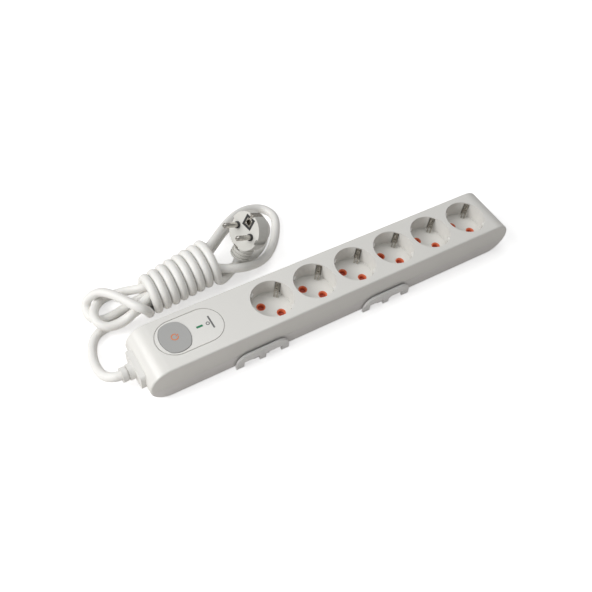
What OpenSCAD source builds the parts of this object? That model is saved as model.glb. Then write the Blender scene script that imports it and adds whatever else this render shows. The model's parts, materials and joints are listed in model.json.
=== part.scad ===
// Six-way socket strip with a switched, surge-protected control end, two clip-on
// wall cradles and a coiled supply cord with an angled plug.
// Origin: centre of the underside, on the resting plane. +X runs along the strip away
// from the cord end, +Y towards the coiled cord, +Z up. Millimetres.

/* [Housing] */
// Overall length of the housing
body_len = 389; // [389:1:395]
// Overall width of the housing
body_w = 52.5; // [52.5:0.5:56]
// Overall height, also twice the radius of the rounded ends
body_h = 38.4; // [38.4:0.2:39]
// Wall thickness of the two shells
wall = 2.2; // [2:0.1:2.4]
// Rounding of the long edges
edge_r = 1.6; // [1:0.1:2]
// Height of the joint between base and cover
seam_z = 15; // [14.8:0.1:15.2]

/* [Sockets] */
// Number of sockets in the row
socket_count = 6; // [6:1:6]
// Distance between socket centres
socket_pitch = 44.25; // [44:0.05:44.5]
// Centre of the first socket along the strip
socket_x0 = -66; // [-66:0.5:-65]
// Radius of the socket well
well_r = 19.7; // [19.6:0.05:19.8]
// Depth of the socket well
well_depth = 17.1; // [17:0.1:17.2]
// Half the distance between the two pins
pin_half = 9.5; // [9.5:0.1:9.5]
// Turn of the pin line against the strip
pin_turn = -45; // [-45:1:-45]
// Bore radius of the pin guides
guide_bore_r = 2.9; // [2.7:0.1:3]

/* [Controls] */
// Centre of the push button along the strip
button_x = -158.8; // [-159:0.1:-158.5]
// Offset of the control panel from the centre line
panel_y = 2; // [1:0.5:2]
// Radius of the button outline
button_r = 15.4; // [15:0.1:15.4]
// Half width of the button between its two flatter sides
button_flat = 13.2; // [13:0.1:13.4]
// Travel of the push button
button_travel = 2.5; // [2:0.1:2.5]
// Travel of each child-protection shutter
shutter_travel = 6.5; // [6.3:0.1:6.5]

/* [Cradles] */
// Length of a cradle cheek
cradle_len = 53; // [50:1:54]
// Height of a cradle cheek
cradle_h = 16; // [15:0.1:17]
// Distance from the centre line to the outer face of a cheek
cradle_y = 29.9; // [29.7:0.1:30.5]

/* [Cord and plug] */
// Radius of the cord jacket
cord_r = 3.9; // [3.8:0.05:3.9]
// Length of the plug pins
plug_pin_len = 19; // [19:0.5:19]
// Radius of the plug pins
plug_pin_r = 2.4; // [2.4:0.05:2.4]
// Radius of the plug head
plug_r = 18.4; // [18:0.1:18.5]

/* [Hidden] */
$fn = 64;

nose_r = body_h / 2;
nose_x = body_len / 2 - nose_r;
top_z = body_h;
floor_z = top_z - well_depth;
floor_t = 2;
cup_r = well_r + 1.7;
gap = 0.1;
slack = 0.3;
socket_xs = [for (i = [0:socket_count - 1]) socket_x0 + i * socket_pitch];

// Housing screw places: along the strip, and across it
screw_xs = [-176, -104, socket_x0 + socket_pitch / 2, socket_x0 + 1.5 * socket_pitch,
            socket_x0 + 3.5 * socket_pitch, 181];
screw_y = 18.2;
post_r = 3.6;
screw_r = 1.5;
head_r = 2.9;

// Heights of the inner parts
rail_z = 3.8;
contact_top = 12.8;
earth_z = 13.5;
earth_t = 0.8;
shutter_z = 15.7;
shutter_t = 2.1;
guide_z = 18;
rail_y = 9.3;
rail_t = 0.8;
bus_x0 = -100;
bus_x1 = socket_xs[socket_count - 1] + 11;

// Cradles
cradle_xs = [-89.7, 45];
cheek_t = 2.2;
foot_gap_h = 6.6;
bridge_w = 16;
bridge_t = 2.6;

// Board
board_x0 = -146;
board_x1 = -110;
board_z = 24;
board_t = 1.6;
board_holes = [[-142.5, -11.5], [-142.5, 15.5], [-113.5, 2]];
led_x = -135.8;

// Wire ends at the switch terminals
term_in_x = button_x - 15.5;
term_out_x = button_x + 16.4;

// Cord end inside the strip
cord_z = nose_r;
cord_in_x = -179;
clamp_x = -184;
clamp_screw_y = 9.5;

// Plug place: face centre, turn about the vertical and tilt of the pins
plug_pos = [-55.8, 71.4, 50];
plug_yaw = 8.8;
plug_tilt = -61;
plug_shank_r = 1.9;
plug_collar_z = 1.7;
grip_len = 31;
mouth_flare = 1.4;
grip_z = -12.5;

// Hank of the supply cord: ends of its axis, and the directions along and across it
hank_a = [-159, 66, 17.7];
hank_b = [-89.5, 76, 20.1];
hank_u = [cos(8.2), sin(8.2), 0];
hank_v = [-sin(8.2), cos(8.2), 0];
hank_turns = 8;

// ---------------------------------------------------------------- shared shapes

// Block with edges rounded about its long X axis and ends revolved about Y
module slab(inset, edge) {
    r = nose_r - inset;
    w = body_w / 2 - inset;
    translate([-nose_x, 0, nose_r])
        rotate([90, 0, 90])
            linear_extrude(2 * nose_x)
                rounded_rect(w, r, edge);
    for (side = [-1, 1])
        translate([side * nose_x, 0, nose_r])
            rotate([90, 0, 0])
                rotate([0, 0, -90 * side])
                    rotate_extrude(angle = 180, $fn = 128)
                        intersection() {
                            rounded_rect(r, w, edge);
                            translate([0, -w])
                                square([r, 2 * w]);
                        }
}

// Rectangle of half sizes a and b with rounded corners
module rounded_rect(a, b, r) {
    square([2 * a - 2 * r, 2 * b], center = true);
    square([2 * a, 2 * b - 2 * r], center = true);
    for (u = [-1, 1], v = [-1, 1])
        translate([u * (a - r), v * (b - r)])
            circle(r);
}

module half_space(z0, z1) {
    translate([-body_len, -body_w, z0])
        cube([2 * body_len, 2 * body_w, z1 - z0]);
}

module box(x0, x1, y0, y1, z0, z1) {
    translate([x0, y0, z0])
        cube([x1 - x0, y1 - y0, z1 - z0]);
}

module at_sockets() {
    for (x = socket_xs)
        translate([x, 0, 0])
            children();
}

// Places children at both pins of a socket centred on the origin
module at_pins() {
    for (side = [-1, 1])
        rotate([0, 0, pin_turn])
            translate([side * pin_half, 0, 0])
                children();
}

module at_screws() {
    for (x = screw_xs, side = [-1, 1])
        translate([x, side * screw_y, 0])
            children();
}

// Outline of the button, grown by g
module button_outline(g) {
    side_r = 20;
    intersection() {
        circle(button_r + g);
        translate([side_r - button_flat, 0])
            circle(side_r + g);
        translate([button_flat - side_r, 0])
            circle(side_r + g);
    }
}

// Outline of the control panel around the button and lamp, grown by g
module panel_outline(g) {
    panel_r = 17.2;
    panel_c0 = 0.4;
    panel_c1 = 26.6;
    translate([panel_c0, 0])
        circle(panel_r + g);
    translate([panel_c1, 0])
        circle(panel_r + g);
    translate([panel_c0, -panel_r - g])
        square([panel_c1 - panel_c0, 2 * (panel_r + g)]);
}

// Insulated wire laid through a list of points; the first and last only steer it
module wire(points, r = 1.2) {
    tube(concat(spline(points, 4), [points[len(points) - 2]]), r, 8);
}

// Part of v at right angles to t, at unit length
function square_to(v, t) =
    let (s = v - (v * t) * t)
    s / norm(s);

function heading(path, i) =
    let (n = len(path), d = path[min(i + 1, n - 1)] - path[max(i - 1, 0)])
    d / norm(d);

// Closed tube of radius r through a list of points
module tube(path, r, sides) {
    n = len(path);
    across = [for (i = 0, s = square_to([0.1, 0.2, 1], heading(path, 0));
                   i < n;
                   i = i + 1, s = square_to(s, heading(path, min(i, n - 1)))) s];
    points = [for (i = [0:n - 1], k = [0:sides - 1])
        path[i] + r * (cos(360 * k / sides) * across[i]
                       + sin(360 * k / sides) * cross(heading(path, i), across[i]))];
    faces = concat(
        [[for (k = [0:sides - 1]) k]],
        [[for (k = [0:sides - 1]) n * sides - 1 - k]],
        [for (i = [0:n - 2], k = [0:sides - 1], h = [0, 1])
            let (a = i * sides + k, b = i * sides + (k + 1) % sides)
            h == 0 ? [a, a + sides, b] : [b, a + sides, b + sides]]);
    polyhedron(points = points, faces = faces);
}

// Smooth curve through control points, n steps between each pair
function spline(p, n) = [
    for (i = [1:len(p) - 3], k = [0:n - 1])
        let (t = k / n)
        0.5 * (2 * p[i] + (p[i + 1] - p[i - 1]) * t
               + (2 * p[i - 1] - 5 * p[i] + 4 * p[i + 1] - p[i + 2]) * t * t
               + (3 * p[i] - p[i - 1] - 3 * p[i + 1] + p[i + 2]) * t * t * t)
];

// ---------------------------------------------------------------- housing

module well_cut() {
    rim_r = 1;
    rotate_extrude() {
        translate([0, floor_z])
            square([well_r, well_depth + 1]);
        difference() {
            translate([well_r, top_z - rim_r])
                square([rim_r, rim_r + 1]);
            translate([well_r + rim_r, top_z - rim_r])
                circle(rim_r, $fn = 32);
        }
    }
}

// Ribs on the well wall that guide the grooves of a plug
module guide_ribs() {
    rib_in = 1.9;
    rib_w = 4.6;
    intersection() {
        translate([0, 0, floor_z - 1])
            cylinder(h = well_depth - 2.5, r = well_r + 1);
        for (side = [-1, 1])
            rotate([0, 0, pin_turn])
                translate([side * (well_r - rib_in / 2 + 0.5), 0, 0])
                    box(-rib_in / 2 - 0.5, rib_in / 2 + 0.5, -rib_w / 2, rib_w / 2,
                        floor_z - 1, top_z);
    }
}

module clip_slots() {
    slot_w = 5.6;
    for (side = [0, 180])
        rotate([0, 0, pin_turn + 90 + side])
            box(well_r - 1, cup_r + 1.2, -slot_w / 2, slot_w / 2, floor_z + 1, top_z - 1.2);
}

module top_cover() {
    color("whitesmoke")
        difference() {
            intersection() {
                union() {
                    difference() {
                        slab(0, edge_r);
                        slab(wall, edge_r / 2);
                    }
                    at_sockets()
                        difference() {
                            translate([0, 0, floor_z - floor_t])
                                cylinder(h = well_depth, r = cup_r);
                            well_cut();
                        }
                    at_sockets()
                        guide_ribs();
                    at_screws()
                        cylinder(h = top_z - 1.5, r = post_r);
                    for (p = board_holes)
                        translate([p[0], p[1], board_z + board_t + gap])
                            cylinder(h = top_z - board_z - board_t - 1.5, r = 2.6);
                }
                slab(0, edge_r);
                half_space(seam_z, top_z + 1);
            }
            at_sockets()
                translate([0, 0, top_z - wall - 1])
                    cylinder(h = wall + 2, r = well_r);
            at_sockets()
                clip_slots();
            at_sockets()
                at_pins()
                    translate([0, 0, floor_z - floor_t - 1])
                        cylinder(h = floor_t + 2, r = 4.2);
            at_screws()
                cylinder(h = 27, r = screw_r + 0.05);
            for (p = board_holes)
                translate([p[0], p[1], board_z])
                    cylinder(h = 8, r = 1.15);
            panel_recess();
            relief_slot();
        }
}

module panel_recess() {
    recess = 1.3;
    translate([button_x, panel_y, top_z - recess])
        linear_extrude(recess + 1)
            panel_outline(0.65);
    translate([button_x, panel_y, top_z - wall - 1])
        linear_extrude(wall + 2)
            button_outline(slack);
    translate([led_x, panel_y + 0.4, top_z - wall - 1])
        linear_extrude(wall + 2)
            square([6, 2.2], center = true);
}

// Opening in the round end for the neck of the strain relief
module relief_slot() {
    box(-body_len / 2 - 5, -185, -11, 11, cord_z - 7, cord_z + 7);
}

module base_cover() {
    color("gainsboro")
        difference() {
            intersection() {
                union() {
                    difference() {
                        slab(0, edge_r);
                        slab(wall, edge_r / 2);
                    }
                    at_screws()
                        cylinder(h = seam_z - gap, r = post_r + 0.8);
                    bus_supports();
                    cord_saddle();
                    switch_supports();
                    for (x = cradle_xs)
                        box(x - bridge_w / 2 - 1.5, x + bridge_w / 2 + 1.5,
                            -body_w / 2 + 1, body_w / 2 - 1, 1, rail_z - gap);
                }
                slab(0, edge_r);
                half_space(0, seam_z - gap);
            }
            at_screws() {
                cylinder(h = seam_z, r = screw_r + 0.1);
                translate([0, 0, -1])
                    cylinder(h = 7, r = head_r + slack);
            }
            for (x = cradle_xs)
                box(x - bridge_w / 2 - slack, x + bridge_w / 2 + slack,
                    -body_w, body_w, -1, bridge_t + gap);
            for (x = cradle_xs, side = [-1, 1])
                snap_lugs(x, side, slack);
            relief_slot();
            translate([-body_len / 2, 0, cord_z])
                rotate([0, 90, 0])
                    cylinder(h = 15, r = cord_r + 0.1);
            clamp_holes();
        }
}

// Pads that hold the two busbars off the floor
module bus_supports() {
    for (i = [0:socket_count - 2], side = [-1, 1])
        translate([socket_xs[i] + socket_pitch / 2, side * (rail_y + 0.4), 1])
            translate([-2, -2, 0])
                cube([4, 4, rail_z - gap - 1]);
}

// Half-round seat under the cord and the two posts of its clamp
module cord_saddle() {
    difference() {
        box(clamp_x - 2.5, clamp_x + 2.5, -12.8, 12.8, 1, cord_z);
        translate([clamp_x - 4, 0, cord_z])
            rotate([0, 90, 0])
                cylinder(h = 8, r = cord_r + 0.1);
    }
}

module clamp_holes() {
    for (side = [-1, 1])
        translate([clamp_x, side * clamp_screw_y, 5])
            cylinder(h = 20, r = 1.3);
}

module switch_supports() {
    for (side = [-1, 1])
        box(button_x - 9, button_x + 9, panel_y + side * 7 - 1, panel_y + side * 7 + 1,
            1, 9 - gap);
}

// Noses on a cradle cheek that snap into pockets of the base, grown by g
module snap_lugs(x, side, g) {
    for (dx = [-11, 11])
        translate([x + dx, side * (body_w / 2 + 0.5), 10.2])
            cube([5 + 2 * g, 2.4 + 2 * g, 2.4 + 2 * g], center = true);
}

// ---------------------------------------------------------------- controls

module control_panel() {
    color("white")
        difference() {
            translate([button_x, panel_y, top_z - 1.25])
                linear_extrude(1.25)
                    panel_outline(0);
            translate([button_x, panel_y, top_z - 2])
                linear_extrude(3)
                    button_outline(slack);
            translate([led_x, panel_y + 0.4, top_z - 2])
                linear_extrude(3)
                    square([5.9, 2.1], center = true);
        }
}

module power_button() {
    cap_top = top_z + 0.5;
    skirt_z = 33;
    color("darkgray")
        translate([button_x, panel_y, 0])
            difference() {
                union() {
                    translate([0, 0, skirt_z])
                        linear_extrude(cap_top - skirt_z)
                            button_outline(0);
                    for (side = [-1, 1])
                        box(-4, 4, side * 15.9 - 1.2, side * 15.9 + 1.2, skirt_z,
                            top_z - wall - gap);
                    translate([0, 0, 30])
                        cylinder(h = 6, r = 3);
                }
                translate([0, 0, skirt_z - 1])
                    difference() {
                        linear_extrude(3.6)
                            button_outline(-1.5);
                        cylinder(h = 4, r = 3);
                    }
                translate([0, 0, cap_top - 0.6])
                    linear_extrude(1)
                        symbol_outline(0.05);
            }
}

// Plain ring with a short bar at its gap
module symbol_outline(g) {
    ring_r = 3.3;
    stroke = 0.9;
    rotate([0, 0, -68]) {
        difference() {
            circle(ring_r + g);
            circle(ring_r - stroke - g);
            translate([0, ring_r])
                square([2.6 - 2 * g, 3.6], center = true);
        }
        translate([0, ring_r - 0.7])
            square([stroke + 2 * g, 2.8 + 2 * g], center = true);
    }
}

module button_symbol() {
    color("orange")
        translate([button_x, panel_y, top_z + 0.5 - 0.55])
            linear_extrude(0.57)
                symbol_outline(0);
}

module button_spring() {
    turns = 5;
    steps = 16;
    z0 = 27.6;
    z1 = 35;
    path = [for (i = [0:turns * steps])
        [button_x + 5.2 * cos(360 * i / steps), panel_y + 5.2 * sin(360 * i / steps),
         z0 + (z1 - z0) * i / (turns * steps)]];
    color("silver")
        tube(path, 0.4, 6);
}

module switch_body() {
    color("black")
        difference() {
            translate([button_x, panel_y, 0])
                box(-11, 11, -9.5, 9.5, 9, 27);
            translate([button_x, panel_y, 13])
                cylinder(h = 15, r = 3.3);
        }
}

module switch_plunger() {
    color("ivory")
        translate([button_x, panel_y, 17])
            cylinder(h = 30 - gap - 17, r = 3.05);
}

module switch_terminals() {
    color("gold")
        for (side = [-1, 1], dy = [-5, 5])
            translate([button_x + side * 13.1, panel_y + dy, 13])
                cube([4, 4.8, 0.8], center = true);
}

module circuit_board() {
    color("darkgreen")
        difference() {
            box(board_x0, board_x1, panel_y - 15.5, panel_y + 15.5, board_z, board_z + board_t);
            for (p = board_holes)
                translate([p[0], p[1], board_z - 1])
                    cylinder(h = 4, r = 1.2);
        }
}

module board_screws() {
    color("silver")
        for (p = board_holes)
            translate([p[0], p[1], 0]) {
                translate([0, 0, board_z - 1.6])
                    cylinder(h = 1.5, r = 2.2);
                translate([0, 0, board_z - 0.2])
                    cylinder(h = 7, r = 1.1);
            }
}

// Row of three disc-shaped surge absorbers standing on the board
module varistors() {
    color("royalblue")
        for (i = [0:2])
            translate([-129 + 7 * i, panel_y + 8, board_z + board_t + 0.2 + 4.9])
                rotate([0, 90, 0])
                    cylinder(h = 4, r = 4.9);
}

module thermal_fuse() {
    fuse_z = board_z + board_t + 2.8;
    color("tan") {
        translate([-130, panel_y - 9, fuse_z])
            rotate([0, 90, 0])
                cylinder(h = 12, r = 2.4);
        for (x = [-130.9, -118.1])
            translate([x, panel_y - 9, fuse_z])
                rotate([0, 90, 0])
                    cylinder(h = 1, r = 2.6);
    }
}

module filter_capacitor() {
    color("gold")
        box(-136, -120, panel_y - 5, panel_y + 5, board_z - 12, board_z - gap);
}

module led_lamp() {
    color("lightgreen")
        translate([led_x, panel_y + 0.4, board_z + board_t + 0.1]) {
            cylinder(h = 3.4, r = 1.9);
            translate([0, 0, 3.4])
                sphere(1.9, $fn = 32);
            cylinder(h = 0.9, r = 2.3);
        }
}

module led_lens() {
    color("green")
        translate([led_x, panel_y + 0.4, 0])
            box(-2.85, 2.85, -0.95, 0.95, board_z + board_t + 6, top_z + 0.05);
}

// ---------------------------------------------------------------- shutters

// Cage under one well: two funnel collars for the pins and rails for the shutter
module shutter_guide(i) {
    len0 = -21;
    len1 = 21.4;
    color("orangered")
        translate([socket_xs[i], 0, 0])
            rotate([0, 0, pin_turn])
                difference() {
                    union() {
                        box(len0, len1, -6, 6, guide_z, floor_z - floor_t - gap);
                        for (side = [-1, 1]) {
                            translate([side * pin_half, 0, guide_z])
                                cylinder(h = floor_z - guide_z, r = 4.1);
                            box(len0, len1, side * 5.5 - 0.5, side * 5.5 + 0.5, 14.5,
                                guide_z + 0.5);
                            box(len0, len1, side * 5 - 1, side * 5 + 1, 14.5, 15.5);
                        }
                    }
                    for (side = [-1, 1])
                        translate([side * pin_half, 0, 0]) {
                            translate([0, 0, guide_z - 1])
                                cylinder(h = 6, r = guide_bore_r);
                            translate([0, 0, floor_z - 1])
                                cylinder(h = 1.01, r1 = guide_bore_r, r2 = 3.7);
                        }
                }
}

// Sliding plate that covers both pin holes; it slides along the pin line
module shutter(i) {
    color("tomato")
        translate([socket_xs[i], 0, 0])
            rotate([0, 0, pin_turn])
                difference() {
                    box(-20.5, 14.3, -4.7, 4.7, shutter_z, shutter_z + shutter_t);
                    for (side = [-1, 1])
                        translate([side * pin_half, 0, 0]) {
                            translate([-shutter_travel, 0, shutter_z - 1])
                                cylinder(h = 4, r = 3);
                            translate([0, 0, shutter_z + shutter_t - 0.8])
                                cylinder(h = 1, r1 = 0.6, r2 = 2.4);
                        }
                }
}

// ---------------------------------------------------------------- conductors

// Folded rail with one fork of two leaves at each pin on that side
module busbar(side) {
    leaf_gap = plug_pin_r + 0.15;
    pin_y = side * pin_half * sin(45);
    y_out = pin_y + side * (leaf_gap + rail_t / 2);
    y_in = pin_y - side * (leaf_gap + rail_t / 2);
    box(bus_x0, bus_x1, y_out - rail_t / 2, y_out + rail_t / 2, rail_z, rail_z + 4);
    for (x = socket_xs) {
        pin_x = x - side * pin_half * cos(45);
        for (y = [y_in, y_out])
            box(pin_x - 3.5, pin_x + 4.4, y - rail_t / 2, y + rail_t / 2, rail_z, contact_top);
        box(pin_x + 3.6, pin_x + 4.4, min(y_in, y_out), max(y_in, y_out), rail_z, contact_top);
    }
}

module live_busbar() {
    color("peru")
        busbar(-1);
}

module neutral_busbar() {
    color("peru")
        busbar(1);
}

// Earth rail with a sprung clip up both sides of every well
module earth_contacts() {
    color("silver") {
        box(bus_x0, bus_x1, -2.4, 2.4, earth_z, earth_z + earth_t);
        at_sockets()
            rotate([0, 0, pin_turn + 90]) {
                box(-22.4, 22.4, -2.3, 2.3, earth_z, earth_z + earth_t);
                for (side = [0, 180])
                    rotate([0, 0, side])
                        earth_clip();
            }
    }
}

// Riser behind the well wall with a leaf that slopes into the well
module earth_clip() {
    clip_w = 4.2;
    clip_t = 0.8;
    clip_top = top_z - 1.5;
    riser_in = cup_r + 0.2;
    leaf_in = 5.4;
    leaf_z = floor_z + 0.6;
    difference() {
        rotate([90, 0, 0])
            translate([0, 0, -clip_w / 2])
                linear_extrude(clip_w)
                    polygon([
                        [riser_in, earth_z], [riser_in + clip_t, earth_z],
                        [riser_in + clip_t, clip_top], [well_r - 0.6, clip_top],
                        [well_r - leaf_in, leaf_z], [well_r - leaf_in + clip_t + 0.2, leaf_z],
                        [well_r - 0.1, clip_top - clip_t], [riser_in, clip_top - clip_t],
                    ]);
        box(well_r - leaf_in, well_r + 1, -1.2, 1.2, floor_z + 9.2, clip_top - 1.6);
        box(well_r - leaf_in - 1, well_r + 1, -0.8, 0.8, floor_z, floor_z + 7);
    }
}

module live_wire_in() {
    color("saddlebrown")
        wire([[-190, -1.8, cord_z - 1], [cord_in_x + 1, -1.8, cord_z - 1], [-176, -3, 16.4],
              [-175, -3, 13.6], [term_in_x, -3, 13], [-170, -3, 13]]);
}

module neutral_wire_in() {
    color("dodgerblue")
        wire([[-190, 1.8, cord_z - 1], [cord_in_x + 1.2, 1.8, cord_z - 1], [-176, 5, 16.4],
              [-175.2, 7, 13.8], [term_in_x, 7, 13], [-170, 7, 13]]);
}

module earth_wire() {
    color("yellowgreen")
        wire([[-190, 0, cord_z + 2], [cord_in_x + 1.6, 0, cord_z + 2], [-174, 8, 22],
              [-169, 15, 20], [-150, 15.2, 14], [-112, 12, 11], [-104, 3, 12],
              [bus_x0 - 1.1, 0, 13.9], [-90, 0, 13.9]]);
}

module live_wire_out() {
    color("saddlebrown")
        wire([[-150, -3, 13], [term_out_x, -3, 13], [-138, -6, 10], [-108, -9.7, 7],
              [bus_x0 - 0.2, -9.7, 5.8], [-90, -9.7, 5.8]]);
}

module neutral_wire_out() {
    color("dodgerblue")
        wire([[-150, 7, 13], [term_out_x, 7, 13], [-138, 8, 9.6], [-108, 9.7, 6.5],
              [bus_x0 - 0.2, 9.7, 5.8], [-90, 9.7, 5.8]]);
}

// ---------------------------------------------------------------- cord entry

module strain_relief() {
    flange_y = 16.5;
    flange_z = 8;
    flange_x = -body_len / 2 - 3.6;
    color("whitesmoke")
        difference() {
            union() {
                difference() {
                    translate([flange_x, 0, cord_z])
                        rotate([90, 0, 90])
                            linear_extrude(10)
                                rounded_rect(flange_y, flange_z, 3.5);
                    slab(-0.05, edge_r);
                }
                box(flange_x + 1, -188, -10.8, 10.8, cord_z - 6.8, cord_z + 6.8);
                box(-189.6, -187.6, -13.4, 13.4, cord_z - 6.8, cord_z + 6.8);
                translate([flange_x + 0.5, 0, cord_z])
                    rotate([0, -90, 0])
                        boot();
            }
            translate([flange_x - 11.9, 0, cord_z])
                rotate([0, 90, 0]) {
                    cylinder(h = 40, r = cord_r + 0.1);
                    cylinder(h = 4, r1 = cord_r + mouth_flare, r2 = cord_r + 0.1);
                }
        }
}

// Stepped sleeve that grips the cord where it leaves the strip
module boot() {
    cylinder(h = 5.5, r = 7.2);
    cylinder(h = 11.4, r = 5.4);
    translate([0, 0, 6.7])
        cylinder(h = 4.7, r = 6.6);
}

module cord_clamp() {
    color("whitesmoke")
        difference() {
            box(clamp_x - 2.5, clamp_x + 2.5, -12.6, 12.6, cord_z + 0.4, cord_z + 7);
            translate([clamp_x - 4, 0, cord_z])
                rotate([0, 90, 0])
                    cylinder(h = 8, r = cord_r + 0.1);
            for (side = [-1, 1])
                translate([clamp_x, side * clamp_screw_y, cord_z - 1])
                    cylinder(h = 12, r = 1.4);
        }
}

module clamp_screws() {
    color("silver")
        for (side = [-1, 1])
            translate([clamp_x, side * clamp_screw_y, 0]) {
                translate([0, 0, 8])
                    cylinder(h = cord_z, r = 1.25);
                translate([0, 0, cord_z + 7 + gap / 2])
                    cylinder(h = 1.8, r = 2.6);
            }
}

module housing_screws() {
    color("silver")
        at_screws()
            difference() {
                union() {
                    translate([0, 0, 3.6])
                        cylinder(h = 2.2, r = head_r);
                    translate([0, 0, 5])
                        cylinder(h = 20, r = screw_r);
                }
                translate([0, 0, 3.4])
                    for (turn = [0, 90])
                        rotate([0, 0, turn])
                            cube([0.7, 3.4, 2.2], center = true);
            }
}

// ---------------------------------------------------------------- wall cradles

// Arched cheek outline with three feet, centred on the origin
module cheek_outline() {
    half = cradle_len / 2;
    corner = 11.5;
    foot_mid = 3;
    foot_end = 7.5;
    difference() {
        union() {
            translate([-half, 0])
                square([cradle_len, cradle_h - corner]);
            translate([-half + corner, 0])
                square([cradle_len - 2 * corner, cradle_h]);
            for (side = [-1, 1])
                translate([side * (half - corner), cradle_h - corner])
                    circle(corner);
        }
        for (side = [-1, 1])
            translate([side * (foot_mid + half - foot_end) / 2, foot_gap_h / 2 - 1])
                square([half - foot_end - foot_mid, foot_gap_h + 2], center = true);
    }
}

module wall_cradle(x) {
    hole_y = 14;
    color("lightgray")
        difference() {
            union() {
                for (side = [-1, 1]) {
                    translate([x, side * (cradle_y - cheek_t / 2) + cheek_t / 2, 0])
                        rotate([90, 0, 0])
                            linear_extrude(cheek_t)
                                cheek_outline();
                    difference() {
                        snap_lugs(x, side, 0);
                        half_space(-1, 9.8);
                    }
                    box(x - 3, x + 3, side * (cradle_y - 2.5) - 2.5, side * (cradle_y - 2.5) + 2.5,
                        0, bridge_t);
                }
                box(x - bridge_w / 2, x + bridge_w / 2, -body_w / 2 - 0.8, body_w / 2 + 0.8,
                    0, bridge_t);
            }
            for (side = [-1, 1])
                translate([x, side * hole_y, 0]) {
                    translate([0, 0, -1])
                        cylinder(h = 5, r = 2.2);
                    translate([0, 0, bridge_t - 1.5])
                        cylinder(h = 1.6, r1 = 2.2, r2 = 4.2);
                }
        }
}

// ---------------------------------------------------------------- cord and plug

// The cord leaves the strip, runs along the hank four times with a loop at each turn,
// is wound round it, and ends in the grip of the plug
cord_from_strip = [
    [cord_in_x + 3, 0, cord_z], [cord_in_x, 0, cord_z], [-199, 0, cord_z],
    [-208.5, 0, cord_z], [-214.5, 2, 17.8], [-219.5, 8, 13.5], [-222, 18.5, 8.5],
    [-221.5, 33, 5], [-217, 47, 4.1], [-209.5, 56.5, 4.1], [-198, 60, 4.1],
    [-185, 58.5, 5.5], [-172, 59, 11.5],
];
outer_right_loop = [
    [-86, 63, 22], [-73, 57.5, 20.5], [-58.5, 57, 15.5], [-41.5, 61.5, 9],
    [-27.5, 69.5, 5], [-15.5, 80, 4.1], [-5.5, 93, 4.1], [2, 107, 4.1],
    [1.5, 118.5, 4.1], [-6, 127, 5], [-22, 127.5, 9], [-39, 120.5, 14],
    [-56, 109, 19], [-73.5, 95, 23.5],
];
upper_left_loop = [
    [-171, 55, 19.5], [-182.5, 53, 14], [-192, 53, 12.4], [-200, 55.5, 12.4],
    [-204.7, 62.5, 12.8], [-204.7, 71, 12.8], [-201, 79.5, 10.5], [-195, 86.5, 7.2],
    [-188, 90.5, 5.2], [-179, 90.5, 5.2], [-169.5, 86.5, 9], [-161.5, 78.5, 16.5],
];
inner_right_loop = [
    [-73, 96, 14], [-52, 114, 7], [-34, 120, 4.1], [-20.5, 117.5, 4.1],
    [-14, 108, 4.1], [-16.5, 96.5, 4.1], [-24, 86, 4.1], [-34, 78, 4.1],
    [-46.5, 72.5, 4.1], [-59.5, 70.5, 4.1], [-73, 70, 6], [-86, 69, 11.5],
];
lower_left_loop = [
    [-164.5, 71.5, 9.5], [-176, 72, 4.8], [-188.5, 69.5, 4.1], [-199.5, 69.5, 4.1],
    [-206.5, 76, 4.1], [-207, 85.5, 4.1], [-204, 91.5, 8.5], [-198, 91.5, 14],
    [-190.5, 88, 18.5], [-183, 78, 22], [-177, 65, 25.5], [-171.5, 52.5, 28.5],
    [-165, 47.5, 25],
];
cord_to_plug = [
    [-89.5, 55, 14.5], [-84, 57, 11], [-76.5, 60.5, 11], [-69.5, 64, 11.8],
    [-64, 67.5, 12.4],
];

// Point of one of the four strands at fraction f of the hank, starting at angle a
function strand(a, f) =
    hank_a + (hank_b - hank_a) * f
    + (5.9 + 2.5 * f) * cos(a - 90 * f) * hank_v
    + [0, 0, 5.9 * sin(a - 90 * f)];

function strand_run(a, fs) = [for (f = fs) strand(a, f)];

// Point of the winding round the strands at fraction f of the hank
function winding(f) =
    let (q = 360 * hank_turns * f)
    hank_a + (hank_b - hank_a) * f
    - 4.2 * cos(q) * hank_u
    - (16 + 4 * f) * cos(q) * hank_v
    - [0, 0, (13.6 + 2.4 * f) * sin(q)];

function in_plug(p) =
    let (x = cos(plug_tilt) * p[0] + sin(plug_tilt) * p[2],
         z = cos(plug_tilt) * p[2] - sin(plug_tilt) * p[0])
    plug_pos + [cos(plug_yaw) * x - sin(plug_yaw) * p[1],
                sin(plug_yaw) * x + cos(plug_yaw) * p[1], z];

module power_cord() {
    per_turn = 14;
    steps = hank_turns * per_turn;
    strands = concat(
        cord_from_strip,
        strand_run(225, [0.08, 0.29, 0.5, 0.71, 0.9]),
        outer_right_loop,
        strand_run(135, [0.92, 0.71, 0.5, 0.29, 0.08]),
        upper_left_loop,
        strand_run(45, [0.17, 0.34, 0.53, 0.72, 0.92]),
        inner_right_loop,
        strand_run(-45, [0.92, 0.71, 0.5, 0.29, 0.08]),
        lower_left_loop);
    wound = [for (k = [1:steps - 1]) winding(k / steps)];
    end = [for (t = [0.3, 6, 12, 16]) in_plug([t - grip_len, 0, grip_z])];
    color("whitesmoke")
        tube(concat(
                 spline(concat(strands, [wound[0], wound[1]]), 2),
                 wound,
                 spline(concat([wound[steps - 2], winding(1)], cord_to_plug, end), 2)),
             cord_r, 8);
}

module place_plug() {
    translate(plug_pos)
        rotate([0, 0, plug_yaw])
            rotate([0, plug_tilt, 0])
                children();
}

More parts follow.
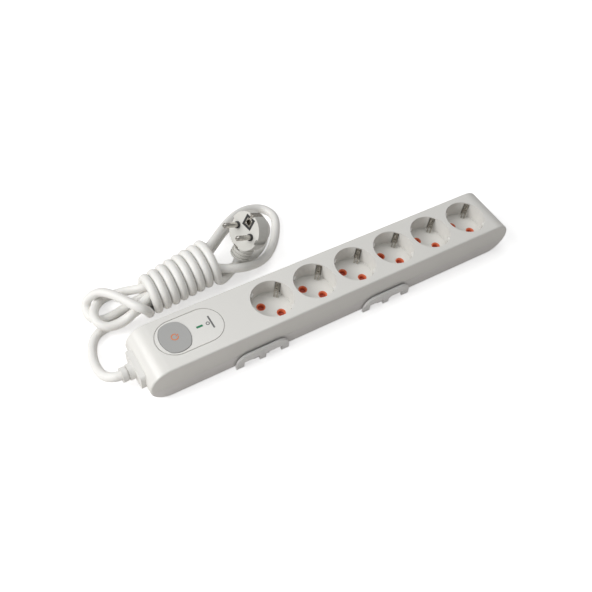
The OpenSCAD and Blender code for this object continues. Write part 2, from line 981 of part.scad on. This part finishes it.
module plug_body() {
    color("whitesmoke")
        place_plug()
            difference() {
                union() {
                    translate([0, 0, -13])
                        cylinder(h = 13, r = plug_r);
                    translate([0, 0, -23])
                        cylinder(h = 10.01, r1 = 12, r2 = plug_r);
                    translate([0, 0, grip_z])
                        rotate([0, -90, 0])
                            cylinder(h = grip_len, r1 = 10, r2 = 8.4);
                    for (i = [0:3])
                        translate([-grip_len + 3 + 3.4 * i, 0, grip_z])
                            rotate([0, -90, 0])
                                cylinder(h = 1.5, r = 9.8);
                }
                for (side = [-1, 1]) {
                    translate([0, side * (plug_r + 0.4), -6])
                        box(-2.7, 2.7, -2.5, 2.5, -8, 8);
                    translate([side * (plug_r + 0.6), 0, -6])
                        box(-2, 2, -2.9, 2.9, -7, 8);
                    translate([0, side * pin_half, -15])
                        cylinder(h = 17, r = plug_shank_r + 0.05);
                    translate([0, side * pin_half, -1.5])
                        cylinder(h = 3, r = 3.35);
                }
                translate([10, 0, -1.2])
                    box(-5.6, 5.6, -5.6, 5.6, -12, 3);
                box(10, plug_r, -1.6, 1.6, -1, 1);
                translate([-grip_len - 1, 0, grip_z])
                    rotate([0, 90, 0]) {
                        cylinder(h = 22, r = cord_r + 0.25);
                        cylinder(h = 5, r1 = cord_r + mouth_flare, r2 = cord_r + 0.25);
                    }
            }
}

module plug_pins() {
    tip = 1.6;
    color("silver")
        place_plug()
            for (side = [-1, 1])
                translate([0, side * pin_half, 0])
                    difference() {
                        union() {
                            translate([0, 0, -14])
                                cylinder(h = 16, r = plug_shank_r);
                            translate([0, 0, plug_collar_z])
                                cylinder(h = plug_pin_len - tip - plug_collar_z, r = plug_pin_r);
                            translate([0, 0, plug_pin_len - tip])
                                cylinder(h = tip, r1 = plug_pin_r, r2 = 1.3);
                        }
                        translate([0, 0, plug_pin_len - 1.8])
                            cylinder(h = 3, r = 0.7);
                    }
}

module plug_pin_collars() {
    color("dimgray")
        place_plug()
            for (side = [-1, 1])
                translate([0, side * pin_half, -1.4])
                    difference() {
                        cylinder(h = 3, r = 3.3);
                        translate([0, 0, -1])
                            cylinder(h = 6, r = plug_shank_r + 0.05);
                    }
}

module plug_earth_frame() {
    color("black")
        place_plug()
            translate([10, 0, 0])
                difference() {
                    box(-5.5, 5.5, -5.5, 5.5, -13, 0.3);
                    box(-3.6, 3.6, -3.6, 3.6, -14, 1);
                    box(0, 8, -1.7, 1.7, -1.1, 1);
                }
}

module plug_earth_contacts() {
    color("silver")
        place_plug() {
            difference() {
                translate([10, 0, 0])
                    box(-3.4, 3.4, -3.4, 3.4, -12.5, 0);
                translate([10, 0, -14])
                    cylinder(h = 16, r = 2.5);
            }
            box(13.2, plug_r - 0.6, -1.5, 1.5, -0.9, -0.1);
            for (side = [-1, 1])
                translate([side * (plug_r - 0.8), 0, 0])
                    box(-0.4, 0.4, -2.6, 2.6, -12.5, -0.1);
        }
}

top_cover();
base_cover();
control_panel();
power_button();
button_symbol();
button_spring();
switch_body();
switch_plunger();
switch_terminals();
circuit_board();
board_screws();
varistors();
thermal_fuse();
filter_capacitor();
led_lamp();
led_lens();
shutter_guide(0);  // shutter_guide_1
shutter_guide(1);  // shutter_guide_2
shutter_guide(2);  // shutter_guide_3
shutter_guide(3);  // shutter_guide_4
shutter_guide(4);  // shutter_guide_5
shutter_guide(5);  // shutter_guide_6
shutter(0);  // shutter_1
shutter(1);  // shutter_2
shutter(2);  // shutter_3
shutter(3);  // shutter_4
shutter(4);  // shutter_5
shutter(5);  // shutter_6
live_busbar();
neutral_busbar();
earth_contacts();
live_wire_in();
neutral_wire_in();
earth_wire();
live_wire_out();
neutral_wire_out();
strain_relief();
cord_clamp();
clamp_screws();
housing_screws();
wall_cradle(cradle_xs[0]);  // wall_cradle_left
wall_cradle(cradle_xs[1]);  // wall_cradle_right
power_cord();
plug_body();
plug_pins();
plug_pin_collars();
plug_earth_frame();
plug_earth_contacts();
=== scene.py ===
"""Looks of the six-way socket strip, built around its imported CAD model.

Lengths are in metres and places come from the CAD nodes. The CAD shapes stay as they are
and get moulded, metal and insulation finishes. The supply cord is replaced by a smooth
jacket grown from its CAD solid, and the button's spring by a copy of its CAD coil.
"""

import json
import math

import bmesh
import bpy
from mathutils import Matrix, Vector


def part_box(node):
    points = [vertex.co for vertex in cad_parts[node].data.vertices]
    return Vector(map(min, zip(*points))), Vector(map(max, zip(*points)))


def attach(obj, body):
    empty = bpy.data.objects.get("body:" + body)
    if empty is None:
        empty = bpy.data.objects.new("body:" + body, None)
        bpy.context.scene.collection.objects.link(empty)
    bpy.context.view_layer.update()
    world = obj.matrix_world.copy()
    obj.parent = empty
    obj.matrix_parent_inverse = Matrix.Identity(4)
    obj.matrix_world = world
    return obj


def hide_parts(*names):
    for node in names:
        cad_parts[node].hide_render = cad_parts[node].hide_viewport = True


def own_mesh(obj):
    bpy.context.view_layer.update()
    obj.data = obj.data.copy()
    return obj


MM = 0.001
HOUSING = "housing"

# The jacket of the cord: its radius, and the CAD tube it is grown from
JACKET_R = 4.25 * MM
CAD_CORD_R = 3.9 * MM
CAD_CORD_SIDES = 8

# Samples of each rounded-edge lookup in the materials
BEVEL_SAMPLES = 4

# Camera at the height and distance of a hand-held view of a strip on a table
CAMERA_LENS_MM = 45.03
CAMERA_AT = (-0.2938, -0.3181, 0.5571)
CAMERA_TILT = math.radians(37.1035)
CAMERA_ROLL = math.radians(-5.5791)
CAMERA_HEADING = math.radians(-31.2193)


# ------------------------------------------------------------------ node helpers

class Graph:
    """Adds nodes to a material and links them."""

    def __init__(self, name):
        self.material = bpy.data.materials.new(name)
        self.material.use_nodes = True
        self.tree = self.material.node_tree
        self.shader = self.tree.nodes["Principled BSDF"]
        self.place = self.add("ShaderNodeTexCoord").outputs["Object"]

    def add(self, kind, **settings):
        node = self.tree.nodes.new(kind)
        for key, value in settings.items():
            setattr(node, key, value)
        return node

    def link(self, source, target):
        self.tree.links.new(source, target)

    def feed(self, node, **inputs):
        """Sets or links inputs; an underscore in a name stands for a space."""
        for key, value in inputs.items():
            socket = node.inputs[key.replace("_", " ")]
            if isinstance(value, bpy.types.NodeSocket):
                self.link(value, socket)
            else:
                socket.default_value = value
        return node

    def noise(self, size, detail=2.0, stretch=(1, 1, 1)):
        """Noise whose blotches are about `size` metres across."""
        mapping = self.feed(self.add("ShaderNodeMapping"), Vector=self.place, Scale=stretch)
        node = self.add("ShaderNodeTexNoise")
        self.feed(node, Vector=mapping.outputs[0], Scale=1.0 / size, Detail=detail)
        return node.outputs["Fac"]

    def remap(self, value, low, high, to_low, to_high):
        node = self.add("ShaderNodeMapRange")
        self.feed(node, Value=value, From_Min=low, From_Max=high, To_Min=to_low, To_Max=to_high)
        return node.outputs[0]

    def mix(self, factor, color_a, color_b):
        node = self.add("ShaderNodeMix", data_type="RGBA")
        self.feed(node, Factor=factor)
        for socket, value in ((node.inputs[6], color_a), (node.inputs[7], color_b)):
            if isinstance(value, bpy.types.NodeSocket):
                self.link(value, socket)
            else:
                socket.default_value = value
        return node.outputs[2]

    def edge_mask(self, reach):
        """1 on sharp edges, falling to 0 within `reach` metres of them."""
        rounded = self.feed(self.add("ShaderNodeBevel", samples=BEVEL_SAMPLES), Radius=reach)
        flat = self.add("ShaderNodeNewGeometry").outputs["Normal"]
        dot = self.add("ShaderNodeVectorMath", operation="DOT_PRODUCT")
        self.link(rounded.outputs[0], dot.inputs[0])
        self.link(flat, dot.inputs[1])
        return self.remap(dot.outputs["Value"], 0.98, 0.75, 0.0, 1.0)

    def bump(self, height, depth, edge=0.0):
        """Bump of `depth` metres; `edge` rounds the shading of sharp edges."""
        node = self.add("ShaderNodeBump")
        self.feed(node, Height=height, Distance=depth, Strength=1.0)
        if edge:
            bevel = self.feed(self.add("ShaderNodeBevel", samples=BEVEL_SAMPLES), Radius=edge)
            self.feed(node, Normal=bevel.outputs[0])
        return node.outputs[0]


def shade(color, factor):
    """The colour made lighter or darker, with full opacity."""
    return tuple(min(1.0, c * factor) for c in color) + (1.0,)


# ------------------------------------------------------------------ finishes

def moulded(name, color, roughness=0.3, coat=0.0, depth=0.006 * MM, mottle=0.02,
            edge=0.25 * MM):
    """Moulded plastic: faint flow mottling, fine grain, rubbed edges and handling marks."""
    grain = 0.35 * MM
    wear = 0.3
    g = Graph(name)
    cloudy = g.noise(28 * MM, detail=4)
    toned = g.mix(cloudy, shade(color, 1 - mottle), shade(color, 1 + mottle))
    fleck = g.remap(g.noise(0.9 * MM, detail=1), 0.74, 0.8, 0.0, 0.12)
    flecked = g.mix(fleck, toned, shade(color, 0.8))
    final = g.mix(g.remap(g.edge_mask(2 * edge), 0.0, 1.0, 0.0, wear), flecked,
                  shade(color, 1.1))
    smear = g.noise(14 * MM, detail=2)
    g.feed(g.shader, Base_Color=final,
           Roughness=g.remap(smear, 0.3, 0.7, roughness - 0.02, roughness + 0.02),
           Coat_Weight=coat, Coat_Roughness=0.12, IOR=1.5,
           Normal=g.bump(g.noise(grain), depth, edge=edge))
    return g.material


def plated(name, color, roughness=0.25):
    """Plated or drawn metal with fine lines along one direction and dull patches."""
    brush = (1, 12, 12)
    edge = 0.15 * MM
    g = Graph(name)
    lines = g.noise(1.2 * MM, detail=3, stretch=brush)
    tarnish = g.noise(5 * MM, detail=4)
    toned = g.mix(g.remap(tarnish, 0.35, 0.75, 0.0, 0.5), shade(color, 1.0), shade(color, 0.78))
    g.feed(g.shader, Base_Color=toned, Metallic=1.0,
           Roughness=g.remap(tarnish, 0.3, 0.7, roughness - 0.06, roughness + 0.1),
           Normal=g.bump(lines, 0.01 * MM, edge=edge))
    return g.material


def jacket(name, color):
    """Extruded cord jacket: satin, with a fine pebble grain and soft handling marks."""
    g = Graph(name)
    cloudy = g.noise(16 * MM, detail=4)
    toned = g.mix(cloudy, shade(color, 0.965), shade(color, 1.03))
    scuffs = g.remap(g.noise(4 * MM, detail=5), 0.62, 0.75, 0.0, 0.25)
    final = g.mix(scuffs, toned, shade(color, 0.86))
    pebble = g.noise(0.5 * MM, detail=2)
    g.feed(g.shader, Base_Color=final, Roughness=g.remap(cloudy, 0.3, 0.7, 0.38, 0.5),
           Subsurface_Weight=0.06, Subsurface_Radius=(1.2 * MM, 1.0 * MM, 0.8 * MM),
           Sheen_Weight=0.05, Normal=g.bump(pebble, 0.02 * MM))
    return g.material


def insulation(name, color, stripe=None):
    """Single-core insulation; the earth core has a second colour in a lengthwise stripe."""
    g = Graph(name)
    cloudy = g.noise(3 * MM, detail=2)
    base = g.mix(cloudy, shade(color, 0.94), shade(color, 1.06))
    if stripe:
        bands = g.add("ShaderNodeTexWave", wave_type="BANDS", bands_direction="Z")
        g.feed(bands, Vector=g.place, Scale=220.0, Distortion=0.6)
        base = g.mix(g.remap(bands.outputs["Fac"], 0.45, 0.55, 0.0, 1.0), base, shade(stripe, 1))
    g.feed(g.shader, Base_Color=base, Roughness=0.42,
           Normal=g.bump(g.noise(0.3 * MM), 0.008 * MM))
    return g.material


def circuit(name, color):
    """Solder mask with paler tracks under it and tin dots."""
    g = Graph(name)
    tracks = g.add("ShaderNodeTexBrick", offset=0.3)
    g.feed(tracks, Vector=g.place, Scale=90.0, Mortar_Size=0.06,
           Color1=shade(color, 1), Color2=shade(color, 0.9), Mortar=shade(color, 1.6))
    dots = g.add("ShaderNodeTexVoronoi")
    g.feed(dots, Vector=g.place, Scale=260.0)
    tin = g.remap(dots.outputs["Distance"], 0.12, 0.16, 1.0, 0.0)
    g.feed(g.shader, Base_Color=g.mix(tin, tracks.outputs[0], (0.6, 0.6, 0.58, 1)),
           Roughness=0.3, Coat_Weight=0.4,
           Normal=g.bump(tracks.outputs["Fac"], 0.03 * MM, edge=0.15 * MM))
    return g.material


def window(name, color, clear=0.35):
    """Tinted translucent moulding with a soft glow of its own colour."""
    g = Graph(name)
    cloudy = g.noise(1.5 * MM, detail=3)
    toned = g.mix(cloudy, shade(color, 0.85), shade(color, 1.15))
    g.feed(g.shader, Base_Color=toned, Roughness=g.remap(cloudy, 0.3, 0.7, 0.12, 0.2),
           Transmission_Weight=clear, Coat_Weight=0.5, Coat_Roughness=0.06,
           Emission_Color=toned, Emission_Strength=0.12,
           Normal=g.bump(g.noise(0.4 * MM), 0.006 * MM, edge=0.2 * MM))
    return g.material


def printed(name, color):
    """Pad-printed ink with a slightly worn film."""
    g = Graph(name)
    worn = g.noise(0.6 * MM, detail=3)
    g.feed(g.shader, Base_Color=g.mix(worn, shade(color, 0.9), shade(color, 1.1)),
           Roughness=0.5, Normal=g.bump(worn, 0.01 * MM))
    return g.material


def finishes():
    """One material for each material slot of the record."""
    white = (0.80, 0.79, 0.755)
    return {
        "cover_white": moulded("cover_white", white, roughness=0.3, coat=0.15),
        "base_white": moulded("base_white", (0.81, 0.79, 0.775), roughness=0.36, coat=0.08),
        "panel_white": moulded("panel_white", (0.82, 0.81, 0.775), roughness=0.24, coat=0.3),
        "button_grey": moulded("button_grey", (0.43, 0.43, 0.42), roughness=0.42,
                               depth=0.015 * MM, mottle=0.03),
        "symbol_orange": printed("symbol_orange", (0.80, 0.24, 0.09)),
        "spring_steel": plated("spring_steel", (0.62, 0.62, 0.60)),
        "switch_black": moulded("switch_black", (0.03, 0.03, 0.03), roughness=0.45),
        "plunger_ivory": moulded("plunger_ivory", (0.72, 0.68, 0.56), roughness=0.4),
        "contact_brass": plated("contact_brass", (0.78, 0.55, 0.24)),
        "board_green": circuit("board_green", (0.03, 0.18, 0.08)),
        "screw_steel": plated("screw_steel", (0.60, 0.60, 0.58), roughness=0.3),
        "varistor_blue": moulded("varistor_blue", (0.04, 0.11, 0.38), roughness=0.35),
        "fuse_tan": moulded("fuse_tan", (0.55, 0.40, 0.24), roughness=0.5),
        "capacitor_yellow": moulded("capacitor_yellow", (0.75, 0.52, 0.06), roughness=0.3),
        "lamp_green": window("lamp_green", (0.20, 0.75, 0.40), clear=0.6),
        "lens_green": window("lens_green", (0.02, 0.28, 0.12)),
        "shutter_orange": moulded("shutter_orange", (0.84, 0.20, 0.09), roughness=0.36),
        "shutter_red": moulded("shutter_red", (0.48, 0.09, 0.05), roughness=0.5),
        "earth_nickel": plated("earth_nickel", (0.60, 0.57, 0.52), roughness=0.2),
        "wire_brown": insulation("wire_brown", (0.16, 0.06, 0.025)),
        "wire_blue": insulation("wire_blue", (0.03, 0.12, 0.50)),
        "wire_green_yellow": insulation("wire_green_yellow", (0.10, 0.38, 0.05),
                                        stripe=(0.80, 0.66, 0.05)),
        "relief_white": moulded("relief_white", (0.83, 0.82, 0.79), roughness=0.4),
        "clamp_white": moulded("clamp_white", (0.70, 0.70, 0.66), roughness=0.42),
        "cradle_grey": moulded("cradle_grey", (0.86, 0.855, 0.845), roughness=0.36, coat=0.05),
        "cord_white": jacket("cord_white", (0.88, 0.87, 0.84)),
        "plug_white": moulded("plug_white", (0.70, 0.69, 0.65), roughness=0.34, coat=0.1,
                              edge=0.6 * MM),
        "pin_nickel": plated("pin_nickel", (0.62, 0.60, 0.56), roughness=0.28),
        "collar_dark": moulded("collar_dark", (0.03, 0.03, 0.03), roughness=0.4),
    }


# ------------------------------------------------------------------ pieces

def dress(nodes, record, looks):
    """Gives each CAD node the finish of its material slot."""
    for part in record["subparts"]:
        node = nodes[part["node"]]
        node.data.materials.clear()
        node.data.materials.append(looks[part["material_slot"]])


def new_piece(name, mesh, material):
    """Piece of the housing that shows a mesh in one finish."""
    piece = bpy.data.objects.new(name, mesh)
    bpy.context.scene.collection.objects.link(piece)
    mesh.materials.clear()
    mesh.materials.append(material)
    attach(piece, HOUSING)
    return piece


def cord_jacket(cad_cord, material):
    """Smooth jacket grown from the straight-sided CAD cord."""
    flat_enough = math.radians(40)
    square_enough = math.radians(60)
    mesh = cad_cord.data.copy()
    bm = bmesh.new()
    bm.from_mesh(mesh)
    bmesh.ops.remove_doubles(bm, verts=bm.verts, dist=0.01 * MM)
    bmesh.ops.join_triangles(bm, faces=bm.faces, cmp_seam=False, cmp_sharp=False,
                             cmp_uvs=False, cmp_vcols=False, cmp_materials=False,
                             angle_face_threshold=flat_enough,
                             angle_shape_threshold=square_enough)
    bmesh.ops.recalc_face_normals(bm, faces=bm.faces)
    bm.normal_update()
    # Subdivision pulls a ring of n points in to this share of its radius
    kept = (2 + math.cos(2 * math.pi / CAD_CORD_SIDES)) / 3
    grow = JACKET_R / kept - CAD_CORD_R
    for vertex in bm.verts:
        vertex.co += vertex.normal * grow
    for face in bm.faces:
        face.smooth = True
    bm.to_mesh(mesh)
    bm.free()
    piece = new_piece("cord_jacket", mesh, material)
    smoothing = piece.modifiers.new("round", "SUBSURF")
    smoothing.levels = 2
    smoothing.render_levels = 2
    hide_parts("power_cord")


def button_coil(cad_spring, material):
    """Return spring of the button, a copy of the CAD coil."""
    piece = new_piece("button_coil", cad_spring.data.copy(), material)
    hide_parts("button_spring")
    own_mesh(piece)


def flat_ring(bm, centre, r_out, r_in, top, steps=32):
    """Thin printed ring lying at height top."""
    inner = []
    outer = []
    for k in range(steps):
        turn = 2 * math.pi * k / steps
        ray = Vector((math.cos(turn), math.sin(turn), 0))
        inner.append(bm.verts.new(centre + ray * r_in + Vector((0, 0, top))))
        outer.append(bm.verts.new(centre + ray * r_out + Vector((0, 0, top))))
    for k in range(steps):
        nxt = (k + 1) % steps
        bm.faces.new((inner[k], outer[k], outer[nxt], inner[nxt]))


def flat_bar(bm, low, high, top):
    """Thin printed bar between two corners, lying at height top."""
    corners = [(low.x, low.y), (high.x, low.y), (high.x, high.y), (low.x, high.y)]
    bm.faces.new([bm.verts.new((x, y, top)) for x, y in corners])


def panel_marks(panel_box, lens_box):
    """Plain printed ring and divider on the control panel, next to the lamp window."""
    film = 0.04 * MM
    ring_from_lens = Vector((7.6 * MM, 0.2 * MM, 0))
    ring_r_out = 1.8 * MM
    ring_r_in = 1.0 * MM
    bar_from_lens = Vector((10.8 * MM, 0.35 * MM, 0))
    bar_reach = Vector((0.75 * MM, 6.65 * MM, 0))
    top = panel_box[1].z + film
    lens_x = (lens_box[0].x + lens_box[1].x) / 2
    mid_y = (panel_box[0].y + panel_box[1].y) / 2
    lens_at = Vector((lens_x, mid_y, 0))
    bar_at = lens_at + bar_from_lens
    bm = bmesh.new()
    flat_ring(bm, lens_at + ring_from_lens, ring_r_out, ring_r_in, top)
    flat_bar(bm, bar_at - bar_reach, bar_at + bar_reach, top)
    mesh = bpy.data.meshes.new("panel_marks")
    bm.to_mesh(mesh)
    bm.free()
    piece = new_piece("panel_marks", mesh, printed("mark_grey", (0.16, 0.16, 0.16)))
    thick = piece.modifiers.new("film", "SOLIDIFY")
    thick.thickness = film
    thick.offset = -1


# ------------------------------------------------------------------ stage

def floor():
    """Plain pale floor with a very faint texture."""
    half = 3.0
    drop = 0.05 * MM
    mesh = bpy.data.meshes.new("floor")
    mesh.from_pydata([(-half, -half, 0), (half, -half, 0), (half, half, 0), (-half, half, 0)],
                     [], [(0, 1, 2, 3)])
    sheet = bpy.data.objects.new("floor", mesh)
    sheet.location.z = -drop
    bpy.context.scene.collection.objects.link(sheet)
    g = Graph("floor_pale")
    cloudy = g.noise(0.2, detail=2)
    g.feed(g.shader, Base_Color=g.mix(cloudy, (0.93, 0.93, 0.93, 1), (0.95, 0.95, 0.95, 1)),
           Roughness=0.8, Emission_Color=(1, 1, 1, 1), Emission_Strength=0.5)
    # The pale floor is what the camera sees; it throws little light up at the object
    dull = g.feed(g.add("ShaderNodeBsdfDiffuse"), Color=(0.8, 0.775, 0.75, 1))
    seen = g.add("ShaderNodeLightPath").outputs["Is Camera Ray"]
    choice = g.add("ShaderNodeMixShader")
    g.link(seen, choice.inputs[0])
    g.link(dull.outputs[0], choice.inputs[1])
    g.link(g.shader.outputs[0], choice.inputs[2])
    g.link(choice.outputs[0], g.tree.nodes["Material Output"].inputs["Surface"])
    mesh.materials.append(g.material)


def soft_box(name, place, target, size, power):
    """Square area light aimed at a point."""
    lamp = bpy.data.lights.new(name, "AREA")
    lamp.size = size
    lamp.energy = power
    holder = bpy.data.objects.new(name, lamp)
    holder.location = place
    holder.rotation_euler = (Vector(target) - Vector(place)).to_track_quat("-Z", "Y").to_euler()
    bpy.context.scene.collection.objects.link(holder)


def studio():
    """White wall for the camera, dim light all round and three soft boxes."""
    wall_seen = 1.0
    wall_light = 0.24
    world = bpy.data.worlds.new("studio")
    world.use_nodes = True
    tree = world.node_tree
    sky = tree.nodes["Background"]
    sky.inputs["Color"].default_value = (1.0, 1.0, 1.0, 1)
    # Camera rays take the bright value and all others the dim one
    seen = tree.nodes.new("ShaderNodeLightPath").outputs["Is Camera Ray"]
    strength = tree.nodes.new("ShaderNodeMapRange")
    strength.inputs["To Min"].default_value = wall_light
    strength.inputs["To Max"].default_value = wall_seen
    tree.links.new(seen, strength.inputs["Value"])
    tree.links.new(strength.outputs[0], sky.inputs["Strength"])
    bpy.context.scene.world = world
    soft_box("key_light", place=(-1.45, 0.4, 1.1), target=(0, 0, 0), size=1.1, power=20.5)
    soft_box("top_light", place=(0.1, 0.3, 1.4), target=(0, 0.02, 0), size=1.0, power=5.2)
    soft_box("edge_light", place=(-1.3, -0.5, 0.45), target=(-0.1, 0, 0.02), size=0.6,
             power=2.0)
    bpy.context.scene.view_settings.view_transform = "Standard"


def camera():
    """Camera that looks down along the strip from its cord end."""
    lens = bpy.data.cameras.new("camera")
    lens.lens = CAMERA_LENS_MM
    lens.sensor_width = 36.0
    lens.clip_start = 0.01
    holder = bpy.data.objects.new("camera", lens)
    holder.location = CAMERA_AT
    holder.rotation_euler = (CAMERA_TILT, CAMERA_ROLL, CAMERA_HEADING)
    bpy.context.scene.collection.objects.link(holder)
    bpy.context.scene.camera = holder


with open("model.json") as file:
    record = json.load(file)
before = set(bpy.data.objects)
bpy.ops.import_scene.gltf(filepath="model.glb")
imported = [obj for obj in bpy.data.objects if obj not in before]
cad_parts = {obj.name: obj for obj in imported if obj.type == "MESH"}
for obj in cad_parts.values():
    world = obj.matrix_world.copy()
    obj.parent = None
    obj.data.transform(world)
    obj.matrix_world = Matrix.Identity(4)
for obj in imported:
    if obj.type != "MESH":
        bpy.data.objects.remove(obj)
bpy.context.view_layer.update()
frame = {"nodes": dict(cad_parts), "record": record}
nodes = frame["nodes"]
record = frame["record"]
looks = finishes()
dress(nodes, record, looks)
cord_jacket(nodes["power_cord"], looks["cord_white"])
button_coil(nodes["button_spring"], looks["spring_steel"])
panel_marks(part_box("control_panel"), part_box("led_lens"))
floor()
studio()
camera()
